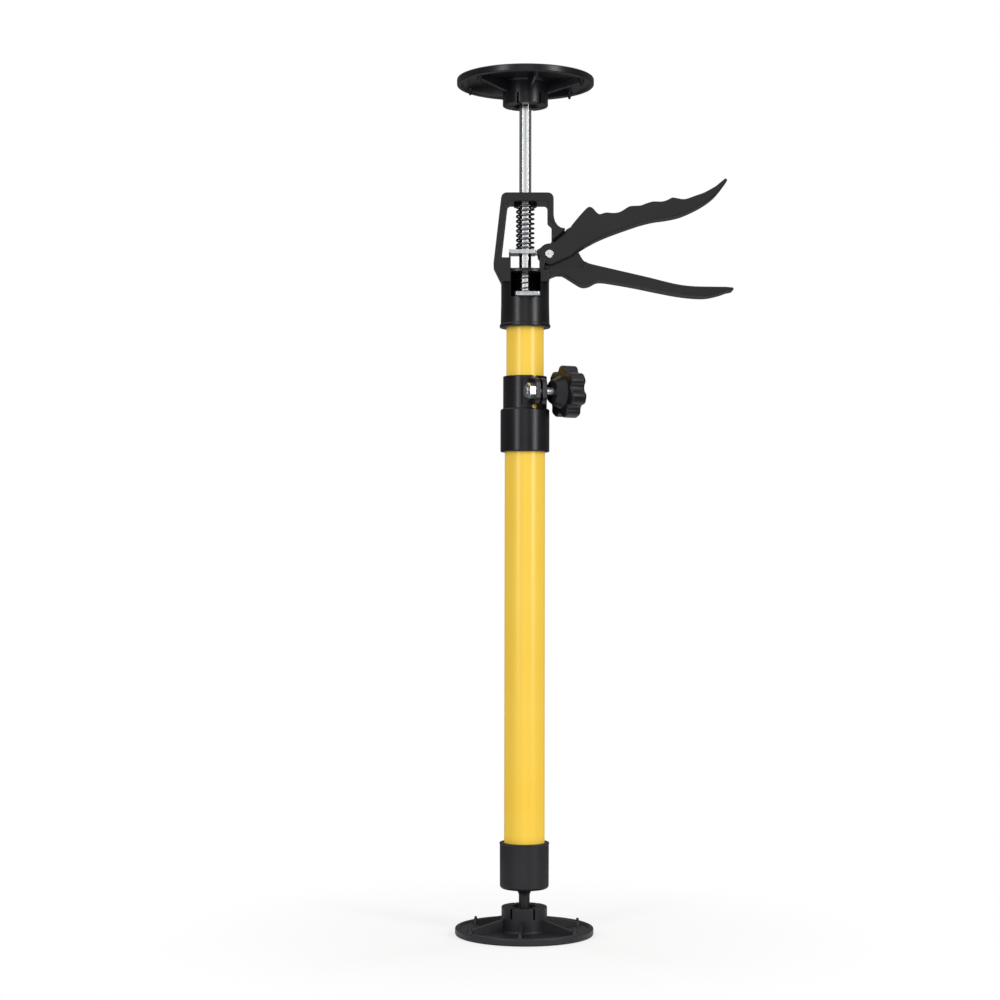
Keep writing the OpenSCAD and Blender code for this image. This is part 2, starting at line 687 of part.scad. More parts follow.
// Cup, window frame, lever web and fixed handle in one moulding
module grip_frame() {
    color(moulded_black) difference() {
        union() {
            frame_cup();
            difference() {
                across(frame_depth) difference() {
                    frame_side_outline();
                    window_outline();
                }
                translate([window_floor_w - edge, -lever_w / 2 - side_gap, wide_top_z])
                    cube([frame_right_x - window_floor_w, lever_w + 2 * side_gap,
                          window_z + post_h + overrun - wide_top_z]);
            }
            translate([0, 0, window_top_z - spring_seat_h])
                cylinder(d = spring_d + 2 * small_edge, h = spring_seat_h + edge);
            intersection() {
                across(web_t) web_drawing();
                translate([window_floor_w, -web_t, frame_low_z])
                    cube([handle_reach, 2 * web_t, frame_top_z - frame_low_z]);
            }
            fixed_handle();
            release_ledge();
        }
        translate([0, 0, cup_z - overrun]) cylinder(r = inner_r + seat_gap, h = cup_depth + overrun);
        translate([0, 0, inner_top_z - overrun])
            cylinder(r = rod_hole_r, h = frame_top_z - inner_top_z + 2 * overrun);
        at_pivot() cylinder(r = pin_d / 2 + press_gap, h = 2 * web_t, center = true);
        frame_recess();
    }
}

module frame_cup() {
    draft_r = cup_r + cup_draft;
    bead_z = cup_z + bead_r;
    rotate_extrude() polygon([
        [0, cup_z], [draft_r + bead_r / 2, cup_z], [draft_r + bead_r, bead_z],
        [draft_r + bead_r, bead_z + bead_r], [draft_r, bead_z + 2 * bead_r + small_edge],
        [cup_r, inner_top_z], [cup_r, window_z], [0, window_z]]);
}

module fixed_handle() {
    difference() {
        across(handle_w) handle_drawing();
        difference() {
            at_pivot() cylinder(r = wide_cut_r, h = 2 * handle_w, center = true);
            translate([-handle_reach, -handle_w, wide_top_z - 2 * handle_reach])
                cube([2 * handle_reach, 2 * handle_w, 2 * handle_reach]);
        }
    }
}

module frame_recess() {
    difference() {
        translate([-recess_left, -frame_depth, recess_z])
            cube([recess_left + recess_right, 2 * frame_depth, recess_h]);
        difference() {
            translate([-frame_depth, 0, recess_z - overrun])
                cube([2 * frame_depth, 2 * frame_depth, recess_h + 2 * overrun]);
            translate([0, 0, recess_z - 2 * overrun])
                cylinder(r = recess_back_r, h = recess_h + 4 * overrun);
        }
        release_ledge();
    }
}

module release_ledge() {
    ledge_y = release_back - 2 * edge;
    ledge_rise = release_ledge_z - recess_z + overrun;
    intersection() {
        translate([-release_left, ledge_y, recess_z - overrun])
            cube([release_left + release_right, cup_r, ledge_rise]);
        translate([0, 0, recess_z - overrun]) cylinder(r = recess_back_r + edge, h = ledge_rise);
    }
}

// Rivet through both cheeks of the lever and the web
module pivot_pin() {
    pin_half = lever_w / 2 + press_gap;
    head_edge_r = pin_head_r - small_edge;
    color(bright_steel) at_pivot() {
        cylinder(d = pin_d, h = 2 * pin_half, center = true);
        translate([0, 0, pin_half]) cylinder(r1 = pin_head_r, r2 = head_edge_r, h = pin_head_h);
        translate([0, 0, -pin_half - pin_head_h]) cylinder(r1 = head_edge_r, r2 = pin_head_r, h = pin_head_h);
    }
}

module lever_drawing() {
    translate(pivot) {
        circle(r = lever_boss_r);
        polygon(concat(
            [polar(lever_boss_r, 80)],
            lever_reach * smooth(lever_outline_shares, 3),
            [polar(lever_boss_r, -70), [0, 0]]));
        polygon([
            polar(lever_boss_r, 143), polar(nose_reach, 161), polar(nose_reach, 169),
            polar(lever_boss_r, 190), [0, 0]]);
    }
}

// Two cheeks astride the web, joined by the arm and by the bar that lifts the drive plate
module squeeze_lever() {
    lever_slot_w = web_t + 2 * side_gap;
    color(moulded_black) difference() {
        union() {
            difference() {
                across(lever_w) lever_drawing();
                at_pivot() cylinder(r = lever_slot_r, h = lever_slot_w, center = true);
            }
            translate([lift_bar.x, 0, lift_bar.y]) rotate([90, 0, 0])
                cylinder(r = lift_bar_r, h = lever_slot_w + 2 * edge, center = true);
        }
        at_pivot() cylinder(r = pin_d / 2 + seat_gap, h = lever_w + 2 * overrun, center = true);
    }
}

// Steel plate that bites the rod: its left end sits on the lip and its tongue on the lever's bar
module drive_plate() {
    tongue_w = web_t - 2 * side_gap;
    tongue_end = pivot_x - web_end_r - side_gap;
    color(zinc_steel) translate([0, 0, drive_z]) difference() {
        linear_extrude(clutch_t) {
            translate([-drive_left, -drive_depth / 2]) square([drive_left + drive_right, drive_depth]);
            translate([0, -tongue_w / 2]) square([tongue_end, tongue_w]);
        }
        translate([0, 0, -overrun]) cylinder(r = rod_hole_r, h = clutch_t + 2 * overrun);
    }
}

module drive_spring() {
    spring_z = drive_z + clutch_t;
    spring_l = window_top_z - spring_seat_h - spring_z;
    color(zinc_steel) coil("drive_spring", spring_d, spring_wire, spring_z, spring_l, spring_turns, 0);
}

module release_plate() {
    color(zinc_steel) difference() {
        translate([0, release_back, release_z]) rotate([release_slope, 0, 0])
            translate([-release_left, -release_l, 0]) linear_extrude(clutch_t) {
                translate([0, 2 * edge]) square([release_left + release_right, release_l - 2 * edge]);
                translate([2 * edge, 0]) square([release_left + release_right - 4 * edge, release_l]);
                for (x = [2 * edge, release_left + release_right - 2 * edge])
                    translate([x, 2 * edge]) circle(r = 2 * edge);
            }
        translate([0, 0, recess_z]) cylinder(r = rod_hole_r, h = recess_h);
    }
}

module release_spring() {
    coil_back = (release_spring_d - release_wire) / 2;
    low_z = release_z + clutch_t + (coil_back - release_back) * tan(release_slope) + rest_gap;
    spring_l = recess_top_z - low_z;
    color(zinc_steel)
        coil("release_spring", release_spring_d, release_wire, low_z, spring_l, release_turns, 90);
}

// Hexagonal rod with a flat to the front and a round spigot for the top ball
module push_rod() {
    color(bright_steel) {
        translate([0, 0, rod_z]) linear_extrude(rod_l) hex_outline(rod_af);
        translate([0, 0, rod_top_z - edge]) cylinder(d = spigot_d, h = spigot_l + edge);
    }
}

module rod_stop() {
    color(zinc_steel) translate([0, 0, rod_z + stop_inset]) difference() {
        cylinder(r = stop_r, h = stop_h);
        translate([0, 0, -overrun]) cylinder(r = rod_corner_r + press_gap, h = stop_h + 2 * overrun);
    }
}

module top_ball() {
    color(moulded_black) translate([0, 0, head_ball_z]) difference() {
        sphere(r = ball_r);
        translate([-ball_r, -ball_r, -ball_flat - ball_r]) cube([ball_d, ball_d, ball_r]);
        translate([0, 0, -ball_flat - overrun])
            cylinder(r = spigot_d / 2 + seat_gap, h = spigot_l + rest_gap + overrun);
    }
}

foot_plate();
foot_ball_stud();
foot_cap();
outer_tube();
clamp_collar();
clamp_nut();
clamp_stud();
clamp_knob();
inner_tube();
tube_guide();
grip_frame();
pivot_pin();
squeeze_lever();
drive_plate();
drive_spring();
release_plate();
release_spring();
push_rod();
rod_stop();
top_ball();
head_plate();
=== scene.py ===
# Telescopic drywall support pole, dressed for its picture
# Lengths are written in millimetres and turned to metres where a mesh is made.
import math

import bpy
from mathutils import Matrix, Vector


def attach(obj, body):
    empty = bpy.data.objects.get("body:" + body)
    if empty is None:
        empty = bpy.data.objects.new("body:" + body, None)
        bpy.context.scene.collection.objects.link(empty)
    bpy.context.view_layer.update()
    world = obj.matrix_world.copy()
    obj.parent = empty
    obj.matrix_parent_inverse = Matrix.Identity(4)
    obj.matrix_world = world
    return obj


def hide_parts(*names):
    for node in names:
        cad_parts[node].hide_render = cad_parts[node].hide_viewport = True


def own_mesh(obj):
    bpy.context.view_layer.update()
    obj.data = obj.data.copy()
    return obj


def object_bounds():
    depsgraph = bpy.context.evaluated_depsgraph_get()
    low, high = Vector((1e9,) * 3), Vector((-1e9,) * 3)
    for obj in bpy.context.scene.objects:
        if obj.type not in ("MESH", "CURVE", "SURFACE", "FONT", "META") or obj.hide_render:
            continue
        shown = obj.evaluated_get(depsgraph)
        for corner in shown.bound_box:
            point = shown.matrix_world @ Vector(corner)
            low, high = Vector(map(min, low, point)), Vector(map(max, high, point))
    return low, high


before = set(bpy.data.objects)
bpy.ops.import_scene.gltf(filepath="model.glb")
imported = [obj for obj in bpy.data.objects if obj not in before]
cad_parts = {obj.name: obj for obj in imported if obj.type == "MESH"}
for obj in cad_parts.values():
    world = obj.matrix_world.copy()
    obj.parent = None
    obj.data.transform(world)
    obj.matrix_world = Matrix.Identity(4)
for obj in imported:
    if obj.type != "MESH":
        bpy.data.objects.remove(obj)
cad_low, cad_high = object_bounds()

# Foot plate
# The round foot turns on a ball. It is one injection moulding in black nylon: a dished disc with a
# rolled rim, six gusset ribs, six pegs and a hub slotted into fingers that snap over the ball.
mm = 0.001


def span(node, axis):
    """Low and high end of a CAD node along X, Y or Z, counted 0, 1 or 2."""
    places = [vertex.co[axis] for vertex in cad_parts[node].data.vertices]
    return round(min(places) / mm, 2), round(max(places) / mm, 2)


def drawn(name, points):
    """Draws a line from point to point, each extruded from the last, and stays in edit mode."""
    bpy.ops.object.select_all(action="DESELECT")
    bpy.ops.mesh.primitive_plane_add(size=mm, location=(0, 0, 0))
    piece = bpy.context.object
    piece.name = name
    bpy.ops.object.mode_set(mode="EDIT")
    bpy.ops.mesh.merge(type="CENTER")
    bpy.ops.transform.translate(value=Vector(points[0]) * mm)
    for here, there in zip(points, points[1:]):
        step = (Vector(there) - Vector(here)) * mm
        bpy.ops.mesh.extrude_vertices_move(TRANSFORM_OT_translate={"value": step})
    bpy.ops.mesh.select_all(action="SELECT")
    return piece


def turned(name, outline, sides=96):
    """Spins half a section, drawn as (radius, height), round the Z axis."""
    weld = 0.005 * mm
    piece = drawn(name, [(x, 0, z) for x, z in outline])
    bpy.ops.mesh.spin(steps=sides, angle=2 * math.pi, center=(0, 0, 0), axis=(0, 0, 1))
    bpy.ops.mesh.select_all(action="SELECT")
    bpy.ops.mesh.remove_doubles(threshold=weld)
    bpy.ops.mesh.normals_make_consistent(inside=False)
    bpy.ops.object.mode_set(mode="OBJECT")
    return piece


def slab(name, outline, low, high):
    """Fills an outline on the X-Z plane and extrudes it along Y from low to high."""
    piece = drawn(name, [(x, low, z) for x, z in outline])
    bpy.ops.mesh.edge_face_add()
    bpy.ops.mesh.extrude_region_move(TRANSFORM_OT_translate={"value": (0, (high - low) * mm, 0)})
    bpy.ops.mesh.select_all(action="SELECT")
    bpy.ops.mesh.normals_make_consistent(inside=False)
    bpy.ops.object.mode_set(mode="OBJECT")
    return piece


def rounded(corners, closed=True):
    """Turns each corner (x, y, radius) into an arc that meets both its sides."""
    arc_step = math.radians(16)
    points = []
    for i, (x, y, radius) in enumerate(corners):
        here = Vector((x, y))
        if radius == 0 or (not closed and i in (0, len(corners) - 1)):
            points.append(here)
            continue
        before = (Vector(corners[i - 1][:2]) - here).normalized()
        after = (Vector(corners[(i + 1) % len(corners)][:2]) - here).normalized()
        half = before.angle(after) / 2
        middle = here + (before + after).normalized() * radius / math.sin(half)
        first = here + before * radius / math.tan(half) - middle
        last = here + after * radius / math.tan(half) - middle
        turn = -first.angle_signed(last)
        steps = max(2, round(abs(turn) / arc_step))
        points += [middle + Matrix.Rotation(turn * k / steps, 2) @ first for k in range(steps + 1)]
    return [tuple(p) for p in points]


def arc(x, y, radius, start, end, steps):
    """Points on an arc, in degrees."""
    angles = [math.radians(start + (end - start) * k / steps) for k in range(steps + 1)]
    return [(x + radius * math.cos(a), y + radius * math.sin(a)) for a in angles]


def spun_about(axis, degrees):
    """A turn about one axis of the object."""
    return Matrix.Rotation(math.radians(degrees), 4, axis)


def moved(x, y, z):
    """A move in millimetres."""
    return Matrix.Translation((x * mm, y * mm, z * mm))


def pick(*pieces):
    """Selects only these pieces, the first one active."""
    bpy.ops.object.select_all(action="DESELECT")
    for piece in pieces:
        piece.select_set(True)
    bpy.context.view_layer.objects.active = pieces[0]


def place(piece, matrix):
    """Moves a piece and writes its new place into its mesh."""
    pick(piece)
    piece.matrix_world = matrix
    bpy.ops.object.transform_apply()
    return piece


def copies(piece, count, first=0):
    """Makes a ring of one shape about the Z axis and joins it to one piece."""
    ring = [piece]
    for i in range(1, count):
        pick(piece)
        bpy.ops.object.duplicate()
        ring.append(bpy.context.object)
    for i, one in enumerate(ring):
        place(one, spun_about("Z", first + 360 * i / count))
    pick(*ring)
    bpy.ops.object.join()
    return piece


def combine(piece, tool, operation="UNION"):
    """Joins a second shape to a piece, or cuts it away, and bins that shape."""
    pick(piece)
    change = piece.modifiers.new("combine", "BOOLEAN")
    change.operation = operation
    change.object = tool
    bpy.ops.object.modifier_apply(modifier=change.name)
    bpy.data.objects.remove(tool)
    return piece


def round_edges(piece, width, segments=3, angle=40):
    """Rounds every edge sharper than the angle."""
    pick(piece)
    soft = piece.modifiers.new("round", "BEVEL")
    soft.width = width * mm
    soft.segments = segments
    soft.angle_limit = math.radians(angle)
    soft.use_clamp_overlap = False
    bpy.ops.object.modifier_apply(modifier=soft.name)
    return piece


def linear(code):
    """Linear colour of an sRGB hex code."""
    parts = [int(code[i:i + 2], 16) / 255 for i in (1, 3, 5)]
    return [c / 12.92 if c <= 0.04045 else ((c + 0.055) / 1.055) ** 2.4 for c in parts] + [1]


def add_node(material, kind, settings={}, links={}):
    """Adds one node: settings are values of its sockets or its own, links feed its sockets."""
    node = material.node_tree.nodes.new(kind)
    for key, value in settings.items():
        if isinstance(key, int) or key in node.inputs:
            node.inputs[key].default_value = value
        else:
            setattr(node, key, value)
    for key, source in links.items():
        material.node_tree.links.new(source, node.inputs[key])
    return node


def clouded(name, marks, detail, colours, roughness, light_from=0.7, stretch=(1, 1, 1)):
    """A new finish whose colour and roughness drift together, with so many marks to the metre."""
    material = bpy.data.materials.new(name)
    material.use_nodes = True
    shader = material.node_tree.nodes["Principled BSDF"]
    where = add_node(material, "ShaderNodeTexCoord")
    stretched = add_node(material, "ShaderNodeMapping", {"Scale": stretch},
                         {"Vector": where.outputs["Object"]})
    drift = add_node(material, "ShaderNodeTexNoise", {"Scale": marks, "Detail": detail},
                     {"Vector": stretched.outputs["Vector"]})
    tone = add_node(material, "ShaderNodeValToRGB", {}, {"Fac": drift.outputs["Fac"]})
    for stop, position, colour in zip(tone.color_ramp.elements, (0.3, light_from), colours):
        stop.position = position
        stop.color = linear(colour)
    haze = add_node(material, "ShaderNodeMapRange", {"To Min": roughness[0], "To Max": roughness[1]},
                    {"Value": drift.outputs["Fac"]})
    material.node_tree.links.new(tone.outputs["Color"], shader.inputs["Base Color"])
    material.node_tree.links.new(haze.outputs["Result"], shader.inputs["Roughness"])
    return material, shader, drift


def grained(material, marks, detail, strength, depth):
    """Gives a finish a fine relief with so many marks to the metre, and a depth in millimetres."""
    where = add_node(material, "ShaderNodeTexCoord")
    grain = add_node(material, "ShaderNodeTexNoise", {"Scale": marks, "Detail": detail},
                     {"Vector": where.outputs["Object"]})
    bump = add_node(material, "ShaderNodeBump", {"Strength": strength, "Distance": depth * mm},
                    {"Height": grain.outputs["Fac"]})
    shader = material.node_tree.nodes["Principled BSDF"]
    material.node_tree.links.new(bump.outputs["Normal"], shader.inputs["Normal"])


def finish_piece(piece, material, node, body, angle=35):
    """Shades a finished piece, gives it its material, hides its CAD node and ties the piece to its body."""
    pick(piece)
    bpy.ops.object.shade_smooth_by_angle(angle=math.radians(angle))
    even = piece.modifiers.new("even", "WEIGHTED_NORMAL")
    even.keep_sharp = True
    bpy.ops.object.modifier_apply(modifier=even.name)
    piece.data.materials.clear()
    piece.data.materials.append(material)
    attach(piece, body)
    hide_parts(node)


plate_r = span("foot_plate", 0)[1]
rim_r = 48.2
rim_h = 5.5
floor_h = 2.8
hub_r = 16.9
hub_h = span("foot_plate", 2)[1]
mouth_r = 9.2
throat_r = 6.75
throat_z = 14.9
ball_r = 8
ball_z = 10.5
socket_r = 8.05
rib_count = 6
rib_w = 2
rib_root = 15.9
rib_reach = 44.2
rib_in_h = 12.5
rib_out_h = 6.2
sunk_z = 1.4
finger_gap = 1.6
finger_z = 13.1
peg_z = 1.5


def plate(name):
    """The plate with its outer face down on Z = 0, and its first rib along +X."""
    section = rounded(
        [(0, 0, 0), (plate_r, 0, 1.2), (plate_r, rim_h, 1.1), (rim_r, rim_h, 0.8), (47, 3.9, 0.8),
         (37, floor_h, 8), (hub_r, floor_h, 1.5), (hub_r, hub_h, 0.9), (mouth_r, hub_h, 0.6),
         (throat_r, throat_z, 0.25), (socket_r, ball_z, 0), (0, ball_z - socket_r, 0)], closed=False)
    socket = arc(0, ball_z, socket_r, 26, -90, 16)
    disc = turned(name, section[:-2] + socket, 120)
    rib = slab("rib", [(rib_root, sunk_z), (rib_reach, sunk_z), (rib_reach, rib_out_h),
                       (17.6, rib_in_h), (rib_root, rib_in_h)], -rib_w / 2, rib_w / 2)
    round_edges(rib, 0.45, 2)
    peg = turned("peg", rounded([(0, peg_z, 0), (2.9, peg_z, 0), (2.5, 4.2, 0.8), (1.45, 6.4, 1.5),
                                 (0.75, 9.1, 0.6), (0, 9.1, 0)], closed=False), 24)
    place(peg, moved(rib_reach, 0, 0))
    combine(rib, peg)
    combine(disc, copies(rib, rib_count))
    slot = slab("slot", [(4, finger_z), (19, finger_z), (19, 23), (4, 23)], -finger_gap / 2, finger_gap / 2)
    return combine(disc, copies(slot, rib_count, 180 / rib_count), "DIFFERENCE")


def moulded_nylon(name, colours, roughness):
    """Injection-moulded nylon: near black, with faint flow marks and a fine mould grain."""
    material, shader = clouded(name, 40, 2, colours, roughness, 0.75)[:2]
    shader.inputs["IOR"].default_value = 1.53
    shader.inputs["Specular IOR Level"].default_value = 0.32
    grained(material, 1100, 1, 0.35, 0.03)
    return material


# Two nylons: a satin one, and one from a blasted mould for the foot's pieces, matt and a little
# greyer. Flow marks are 25 mm apart. The real grain is 0.3 mm and is drawn at 0.9 mm, so that it shows.
nylon = moulded_nylon("injection_moulded_nylon", ("#131217", "#1A191E"), (0.26, 0.33))
blasted = moulded_nylon("blasted_nylon", ("#1F1F23", "#28282C"), (0.4, 0.5))

foot = place(plate("foot_plate_moulding"), spun_about("Z", 25))
finish_piece(foot, blasted, "foot_plate", "foot")

# Ball stud
# A ball on a waisted neck joins the foot to the pole. It is turned from the same black nylon, and its
# shank passes through the foot cap and ends in a head inside the tube.
neck_r = 4.05
flare_r = 7.05
shank_r = 4
head_r = 6
cap_low, cap_top = span("foot_cap", 2)
tube_low, tube_top = span("outer_tube", 2)
stud_top = span("foot_ball_stud", 2)[1]
flare = arc(9.35, 28.4, 5.3, 180, 116, 10)
shank = rounded([(flare_r, 33.7, 0), (shank_r, 33.7, 0), (shank_r, 39.8, 0), (head_r, 39.8, 0),
                 (head_r, stud_top, 0.6), (0, stud_top, 0)], closed=False)
stud_ball = arc(0, ball_z, ball_r, -90, 55, 18)
stud = turned("ball_stud_turning", stud_ball + [(neck_r, 17.4)] + flare + shank, 72)
finish_piece(stud, blasted, "foot_ball_stud", "stud")

# Foot cap
# A moulded nylon cap is pressed on the outer tube's lower end. Its bottom edge is rounded, and its
# top edge has a small lip where the mould opens.
cap_bore = 4.05
cap_r = 18.1
lip_r = 18.45
lip_z = 67
sleeve_bore = 15.05
cap = turned("foot_cap_moulding", rounded(
    [(cap_bore, cap_low, 0), (cap_r, cap_low, 2.4), (18.2, 66.6, 0.3), (lip_r, lip_z, 0.3),
     (lip_r, 67.7, 0.3), (18, cap_top, 0.3), (sleeve_bore, cap_top, 0.3), (sleeve_bore, tube_low, 0),
     (cap_bore, tube_low, 0), (cap_bore, cap_low, 0)], closed=False), 128)
finish_piece(cap, blasted, "foot_cap", "pole")

# Outer tube
# Welded steel tube, 30 mm across with a 0.8 mm wall, cut square, powder coated yellow and baked: a
# smooth coat with a fine orange peel. Its true pitch of about 0.8 mm is drawn at 2 mm.
paint, coat = clouded("yellow_powder_coat", 14, 3, ("#FED044", "#FFD650"), (0.26, 0.33))[:2]
coat.inputs["IOR"].default_value = 1.5
coat.inputs["Specular IOR Level"].default_value = 0.5
grained(paint, 500, 1, 0.3, 0.03)
outer_r = span("outer_tube", 0)[1]
tube_wall = 0.8


def tube(name, radius, low, high):
    """A tube cut square, its four end edges just broken."""
    bore = radius - tube_wall
    broken = 0.2
    ends = rounded([(bore, low, broken), (radius, low, broken), (radius, high, 0.25), (bore, high, broken)])
    return turned(name, ends + [(bore, low + broken)], 128)


outer = tube("outer_tube_steel", outer_r, tube_low, tube_top)
finish_piece(outer, paint, "outer_tube", "pole")

# Clamp collar
# A nylon sleeve grips the outer tube's top. Above its shoulder a slit ring closes on the inner tube
# when the screw pulls its two ears together; the slit ends in a round hole and starts in a vee.
collar_low, ring_top = span("clamp_collar", 2)
sleeve_r = 18.25
shoulder_z = 389
ring_r = 16.3
ring_bore = 14.2
ear_low = 391.45
ear_top = 410.95
ear_reach = 25.8
ear_y = 5
pocket_r = 15.4
slit_w = 2
slit_z = 390.25
slit_hole_r = 2.5
bolt_offset = 21
bolt_z = 401.2
bolt_hole_r = 3.3
vee_w = 2.2
clamp = spun_about("Z", -62)
collar = turned("clamp_collar_moulding", rounded(
    [(sleeve_bore, collar_low, 0), (sleeve_r, collar_low, 1), (sleeve_r, shoulder_z, 1.3),
     (ring_r, shoulder_z, 0.6), (ring_r, ring_top, 0.6), (ring_bore, ring_top, 0.3),
     (ring_bore, tube_top, 0), (sleeve_bore, tube_top, 0), (sleeve_bore, collar_low, 0)], closed=False), 128)
ears = slab("ears", rounded([(14.6, ear_low, 0), (ear_reach, ear_low, 5), (ear_reach, ear_top, 5),
                             (14.6, ear_top, 0)]), -ear_y, ear_y)
combine(collar, place(round_edges(ears, 0.7), clamp))
pocket = turned("pocket", [(pocket_r, ear_low), (17.3, ear_low), (17.3, ear_top), (pocket_r, ear_top),
                           (pocket_r, ear_low)], 128)
side = slab("side", [(0, 390), (26, 390), (26, 412), (0, 412)], -2 * ear_y, -ear_y)
combine(pocket, place(side, clamp), "INTERSECT")
combine(collar, pocket, "DIFFERENCE")
slit = slab("slit", [(0, 390.9), (27, 390.9), (27, 416), (0, 416)], -slit_w / 2, slit_w / 2)
combine(collar, place(slit, clamp), "DIFFERENCE")
relief = turned("relief", [(0, 8), (slit_hole_r, 8), (slit_hole_r, 27), (0, 27)], 40)
combine(collar, place(relief, clamp @ moved(0, 0, slit_z) @ spun_about("Y", 90)), "DIFFERENCE")
vee = slab("vee", [(-vee_w, 0.5), (vee_w, 0.5), (0, -vee_w)], 8, 27)
combine(collar, place(vee, clamp @ moved(0, 0, ring_top) @ spun_about("Z", -90)), "DIFFERENCE")
lay = spun_about("X", -90)
bolt_place = clamp @ moved(bolt_offset, 0, bolt_z) @ lay
bolt_hole = turned("bolt_hole", [(0, -7), (bolt_hole_r, -7), (bolt_hole_r, 7), (0, 7)], 40)
combine(collar, place(bolt_hole, bolt_place), "DIFFERENCE")
finish_piece(collar, nylon, "clamp_collar", "pole")

# Clamp nut
# A pressed M6 nut, 10 mm across its flats, its corners chamfered by turning and its bore countersunk.
# It shares the rod's bright drawn steel, whose fine lengthwise lines are drawn 1.1 mm apart to show.
bright, steel, lines = clouded("bright_drawn_steel", 900, 2, ("#DCDEE0", "#F2F3F4"), (0.16, 0.3),
                               stretch=(1, 1, 0.02))
steel.inputs["Metallic"].default_value = 1
bump = add_node(bright, "ShaderNodeBump", {"Strength": 0.2, "Distance": 0.02 * mm},
                {"Height": lines.outputs["Fac"]})
bright.node_tree.links.new(bump.outputs["Normal"], steel.inputs["Normal"])
nut_flats = 10
nut_h = 5
nut_bore = 3.05
nut_corner = 5.8
bpy.ops.object.select_all(action="DESELECT")
bpy.ops.mesh.primitive_cylinder_add(vertices=6, radius=nut_flats / math.sqrt(3) * mm, depth=nut_h * mm,
                                    location=(0, 0, -(ear_y + nut_h / 2) * mm))
nut = bpy.context.object
nut.name = "clamp_nut_pressing"
bpy.ops.object.transform_apply()
barrel = turned("barrel", [(nut_bore, -10), (3.5, -10), (4.9, -10), (nut_corner, -9.5), (nut_corner, -5.5),
                           (4.9, -ear_y), (3.5, -ear_y), (nut_bore, -5.4), (nut_bore, -10)], 48)
combine(nut, barrel, "INTERSECT")
finish_piece(place(nut, bolt_place), bright, "clamp_nut", "pole", 25)

# Clamp screw
# An M6 screw with a rolled thread of 1 mm pitch runs from the nut into the knob. It is zinc plated,
# which gives a pale grey with a fine cloudy mottle, about 3 mm from cloud to cloud.
zinc, plating = clouded("zinc_plated_steel", 350, 4, ("#B4B8BC", "#DADCDF"), (0.28, 0.42))[:2]
plating.inputs["Metallic"].default_value = 1
core_r = 2.55
screw_low = -11
screw_end = 22.9
pitches = 32
thread_steps = 24
screw = turned("clamp_screw_thread", rounded(
    [(0, screw_low, 0), (core_r, screw_low, 0.5), (core_r, screw_end, 0), (0, screw_end, 0)],
    closed=False), 32)
thread = drawn("thread", [(2.4, 0, -10.7), (2.98, 0, -10.3), (2.98, 0, -10.2), (2.4, 0, -9.85)])
bpy.ops.mesh.edge_face_add()
bpy.ops.object.mode_set(mode="OBJECT")
pick(thread)
wind = thread.modifiers.new("wind", "SCREW")
wind.angle = 2 * math.pi * pitches
wind.screw_offset = pitches * mm
wind.steps = thread_steps * pitches
wind.render_steps = thread_steps * pitches
wind.use_merge_vertices = True
bpy.ops.object.modifier_apply(modifier=wind.name)
pick(screw, thread)
bpy.ops.object.join()
finish_piece(place(screw, bolt_place), zinc, "clamp_stud", "knob")

# Clamp knob
# A seven-lobed hand knob is moulded over the screw: a conical hub towards the ears, rounded lobes,
# and a dished outer face with a raised boss.
lobe_count = 7
knob_low = 17.9
knob_top = 30.4
boss_top = 29.6
dish_z = 28.6
hub_low = 11
hub_top = 19
lobes = []
for i in range(lobe_count):
    for radius, angle, corner in ((20.1, -11.5, 3.6), (20.1, 11.5, 3.6), (14.4, 180 / lobe_count, 4)):
        a = math.radians(84 + 360 * i / lobe_count + angle)
        lobes.append((radius * math.cos(a), radius * math.sin(a), corner))
knob = slab("clamp_knob_moulding", rounded(lobes), knob_low, knob_top)
round_edges(knob, 2, 4)
hub = turned("hub", rounded([(0, hub_low, 0), (8.6, hub_low, 0.8), (12.5, knob_low, 1.2), (13.4, hub_top, 0),
                             (0, hub_top, 0)], closed=False), 72)
combine(knob, place(hub, lay))
dish = turned("dish", rounded([(0, boss_top, 0), (4.2, boss_top, 0.4), (4.6, dish_z, 0.6),
                               (10.6, dish_z, 1.2), (12.2, 31, 0), (0, 31, 0)], closed=False), 72)
combine(knob, place(dish, lay), "DIFFERENCE")
screw_hole = turned("screw_hole", [(0, 10), (3.02, 10), (3.02, 22.95), (0, 22.95)], 32)
combine(knob, place(screw_hole, lay), "DIFFERENCE")
place(knob, clamp @ moved(bolt_offset, 0, bolt_z))
finish_piece(knob, nylon, "clamp_knob", "knob")

# Inner tube
# The same painted tube, 27.8 mm across, slides in the outer one and carries the grip.
inner_r = span("inner_tube", 0)[1]
inner_low, inner_top = span("inner_tube", 2)
inner = tube("inner_tube_steel", inner_r, inner_low, inner_top)
finish_piece(inner, paint, "inner_tube", "grip")

# Tube guide
# A nylon bush is pressed into the inner tube's lower end. It is out of sight, so its solid stays.
for material_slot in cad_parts["tube_guide"].material_slots:
    material_slot.material = nylon

# Grip frame
# One moulding in glass-filled nylon with a spark-eroded, matt skin: the cup over the inner tube, the
# recess for the release plate, the window for the spring, the lever's web and the fixed handle.

